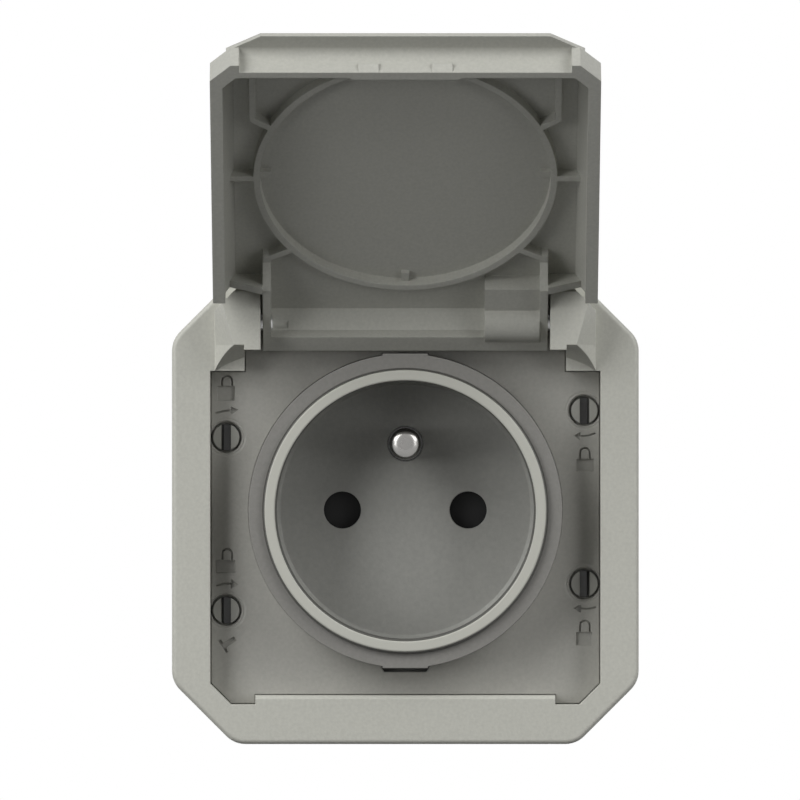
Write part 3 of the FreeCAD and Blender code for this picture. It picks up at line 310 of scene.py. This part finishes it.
def torus(x, y, z, major, minor, around=96, across=16):
    """Torus about an axis along Y: radius major + minor cos v, height minor sin v."""
    u, v = np.meshgrid(np.arange(around) * 2 * np.pi / around, np.arange(across) * 2 * np.pi / across,
                       indexing="ij")
    radius = major + minor * np.cos(v)
    verts = np.stack([x + radius * np.cos(u), y + minor * np.sin(v), z + radius * np.sin(u)], axis=-1)
    index = np.arange(around * across).reshape(around, across)
    right, up = np.roll(index, -1, axis=0), np.roll(index, -1, axis=1)
    both = np.roll(right, -1, axis=1)
    quads = np.stack([index, up, both, right], axis=-1).reshape(-1, 4)
    return verts.reshape(-1, 3), quads.tolist()


def mesh_object(name, verts, faces):
    """Object at the origin from points in millimetres."""
    mesh = bpy.data.meshes.new(name)
    mesh.from_pydata((np.asarray(verts) * MM).tolist(), [], faces)
    body = bpy.data.objects.new(name, mesh)
    bpy.context.scene.collection.objects.link(body)
    return body


# %% [markdown]
# ## Panel with its signs
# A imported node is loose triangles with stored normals. A boolean needs a closed mesh, so the copy
# is merged first, and each cutter is taken out by itself, because cutters that overlap one another
# confuse the solver. Edges sharper than 25 degrees stay crisp and the rest is shaded smooth.

# %% Copy, cut and replace
def merged_copy(name, node):
    """Copy of a CAD node whose loose triangles are joined along their edges.

    The stored normals go, because the boolean would smear them over its new faces.
    """
    mesh = frame["nodes"][node].data.copy()
    mesh.name = name
    if "custom_normal" in mesh.attributes:
        mesh.attributes.remove(mesh.attributes["custom_normal"])
    work = bmesh.new()
    work.from_mesh(mesh)
    bmesh.ops.remove_doubles(work, verts=work.verts, dist=1e-7)
    work.to_mesh(mesh)
    work.free()
    body = bpy.data.objects.new(name, mesh)
    bpy.context.scene.collection.objects.link(body)
    return body


def cut_away(body, cutter):
    """Take one closed mesh out of another and keep only the result."""
    step = body.modifiers.new("cut", "BOOLEAN")
    step.operation = "DIFFERENCE"
    step.solver = "EXACT"
    step.object = cutter
    bpy.context.view_layer.update()
    shown = body.evaluated_get(bpy.context.evaluated_depsgraph_get())
    mesh = bpy.data.meshes.new_from_object(shown)
    body.modifiers.clear()
    body.data = mesh
    bpy.data.objects.remove(cutter)
    mesh.shade_smooth()
    mesh.set_sharp_from_angle(angle=math.radians(25.0))


# Millimetres: how deep the signs go and the prisms stand out, then the dished ring round a lock.
SIGN_DEPTH, PROUD = 0.4, 0.3
DISH_R, DISH_TUBE, DISH_DEPTH = 2.75, 0.4, 0.06
joints = {joint["name"]: joint for joint in frame["record"]["behaviour"]["joints"]}
front = float(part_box("inner_panel")[0][1]) / MM
panel = merged_copy("panel_with_signs", "inner_panel")
before = len(panel.data.polygons)
for sign in SIGNS:
    cut_away(panel, mesh_object("sign_tool", *prism(sign, front - PROUD, front + SIGN_DEPTH)))
for lock in WEARS["lock"]:
    x, _, z = np.array(joints[lock + "_turn"]["pos_m"]) / MM
    dish = torus(x, front - DISH_TUBE + DISH_DEPTH, z, DISH_R, DISH_TUBE)
    cut_away(panel, mesh_object("ring_tool", *dish))
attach(panel, "housing")
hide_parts("inner_panel")
print("panel faces", before, "to", len(panel.data.polygons))


# %% [markdown]
# ## Shutter spring
# The coil spring stands in the housing and gets shorter when the shutter slides down on it. It
# could be wound anew for each length, but one mesh has to serve all poses. So a merged copy of the
# node, with a mesh of its own, takes the node's place in the housing.

# %% Spring
spring = merged_copy("spring_coil", "shutter_spring")
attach(spring, "housing")
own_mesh(spring)
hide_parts("shutter_spring")


# %% [markdown]
# ## Studio
# The photo was taken with a long lens from straight in front, a little above the well. The
# distance comes from how fast the lid's sides converge, and the lens from the size of the frame.
# Nothing in the camera is shifted or turned, so the lines of the frame stay upright.

# %% Camera
camera = bpy.data.objects.new("camera", bpy.data.cameras.new("camera"))
bpy.context.scene.collection.objects.link(camera)
camera.location = (-0.0008, -1.7965, 0.0166)
camera.rotation_euler = (math.pi / 2, 0.0, 0.0)
SENSOR, DISTANCE, VIEW_WIDTH = 36.0, 1800.0, 120.7
camera.data.sensor_width = SENSOR
camera.data.lens = SENSOR * DISTANCE / VIEW_WIDTH
camera.data.clip_end = 10.0
bpy.context.scene.camera = camera
bpy.context.scene.view_settings.view_transform = "Standard"
print("lens", round(camera.data.lens), "mm")


# %% [markdown]
# ## Lamps
# Soft boxes stand on a sphere round the well, each one turned towards it. In the photo the front
# faces are bright, the lid's inside is dim and the pin casts a shadow to each side. So two large
# lamps shine from high at both sides, past the open lid, and two weak ones from the height of
# the well. A fifth lamp lights the back, which the photo doesn't show.

# %% Lamps
AIM = Vector((0.0, 0.0, 0.015))


def lamp(name, azimuth, height, power, size=0.3, distance=0.8):
    """Square lamp at a distance from the aim; angles in degrees, azimuth 0 is in front."""
    around, up = math.radians(azimuth), math.radians(height)
    away = Vector((math.sin(around) * math.cos(up), -math.cos(around) * math.cos(up), math.sin(up)))
    light = bpy.data.lights.new(name, "AREA")
    light.shape = "SQUARE"
    light.size = size
    light.energy = power
    holder = bpy.data.objects.new(name, light)
    bpy.context.scene.collection.objects.link(holder)
    holder.location = AIM + away * distance
    holder.rotation_euler = (-away).to_track_quat("-Z", "Y").to_euler()


lamp("left_high", -52.0, 32.0, 5.0, size=0.5)
lamp("left_low", -46.0, 0.0, 1.4)
lamp("right_high", 56.0, 32.0, 3.6, size=0.5)
lamp("right_low", 46.0, 0.0, 0.8)
lamp("back", 165.0, 38.0, 5.0, size=0.7, distance=1.4)
print("lamps", len(bpy.data.lights))


# %% [markdown]
# ## Background
# The background is plain white, for the camera and for what polished metal mirrors. All other
# rays meet a dim world and a dark cloth, so the white never adds light to the object, and the
# floor still shows its shadow. A light path node tells the kinds of ray apart.

# %% World and floor
def seen_directly(tree):
    """1 for rays from the camera, from a gloss or through glass, and 0 for stray light."""
    ray = tree.nodes.new("ShaderNodeLightPath")
    seen = ray.outputs["Is Camera Ray"]
    for kind in ("Is Glossy Ray", "Is Transmission Ray"):
        larger = tree.nodes.new("ShaderNodeMath")
        larger.operation = "MAXIMUM"
        tree.links.new(seen, larger.inputs[0])
        tree.links.new(ray.outputs[kind], larger.inputs[1])
        seen = larger.outputs["Value"]
    return seen


def mixed(tree, unseen, shown, target):
    """Send one shader to stray light and another to the rays that are seen directly."""
    mix = tree.nodes.new("ShaderNodeMixShader")
    tree.links.new(seen_directly(tree), mix.inputs["Fac"])
    tree.links.new(unseen, mix.inputs[1])
    tree.links.new(shown, mix.inputs[2])
    tree.links.new(mix.outputs["Shader"], target)


world = bpy.data.worlds.new("studio")
bpy.context.scene.world = world
world.use_nodes = True
sky = world.node_tree
fill = sky.nodes["Background"]
fill.inputs["Color"].default_value = (1.0, 1.0, 1.0, 1.0)
fill.inputs["Strength"].default_value = 0.015
white = sky.nodes.new("ShaderNodeBackground")
white.inputs["Color"].default_value = (1.0, 1.0, 1.0, 1.0)
white.inputs["Strength"].default_value = 1.0
mixed(sky, fill.outputs["Background"], white.outputs["Background"],
      sky.nodes["World Output"].inputs["Surface"])

FLOOR_Z, FLOOR_HALF, FLOOR_BACK = -0.06, 1.2, 0.38
corners = [(-FLOOR_HALF, -FLOOR_HALF, FLOOR_Z), (FLOOR_HALF, -FLOOR_HALF, FLOOR_Z),
           (FLOOR_HALF, FLOOR_BACK, FLOOR_Z), (-FLOOR_HALF, FLOOR_BACK, FLOOR_Z)]
floor_mesh = bpy.data.meshes.new("floor")
floor_mesh.from_pydata(corners, [], [(0, 1, 2, 3)])
floor = bpy.data.objects.new("floor", floor_mesh)
bpy.context.scene.collection.objects.link(floor)
paper, paper_tree, paper_bsdf = shader("floor_paper", (0.8, 0.8, 0.8), 0.9, specular=0.0)
tinted(paper_tree, paper_bsdf, (0.8, 0.8, 0.8), noise(paper_tree, 60.0), 0.01)
cloth = paper_tree.nodes.new("ShaderNodeBsdfDiffuse")
cloth.inputs["Color"].default_value = (0.06, 0.06, 0.06, 1.0)
glow = paper_tree.nodes.new("ShaderNodeEmission")
glow.inputs["Strength"].default_value = 0.35
both = paper_tree.nodes.new("ShaderNodeAddShader")
paper_tree.links.new(paper_bsdf.outputs["BSDF"], both.inputs[0])
paper_tree.links.new(glow.outputs["Emission"], both.inputs[1])
mixed(paper_tree, cloth.outputs["BSDF"], both.outputs["Shader"],
      paper_tree.nodes["Material Output"].inputs["Surface"])
floor_mesh.materials.append(paper)
print("floor at", FLOOR_Z)
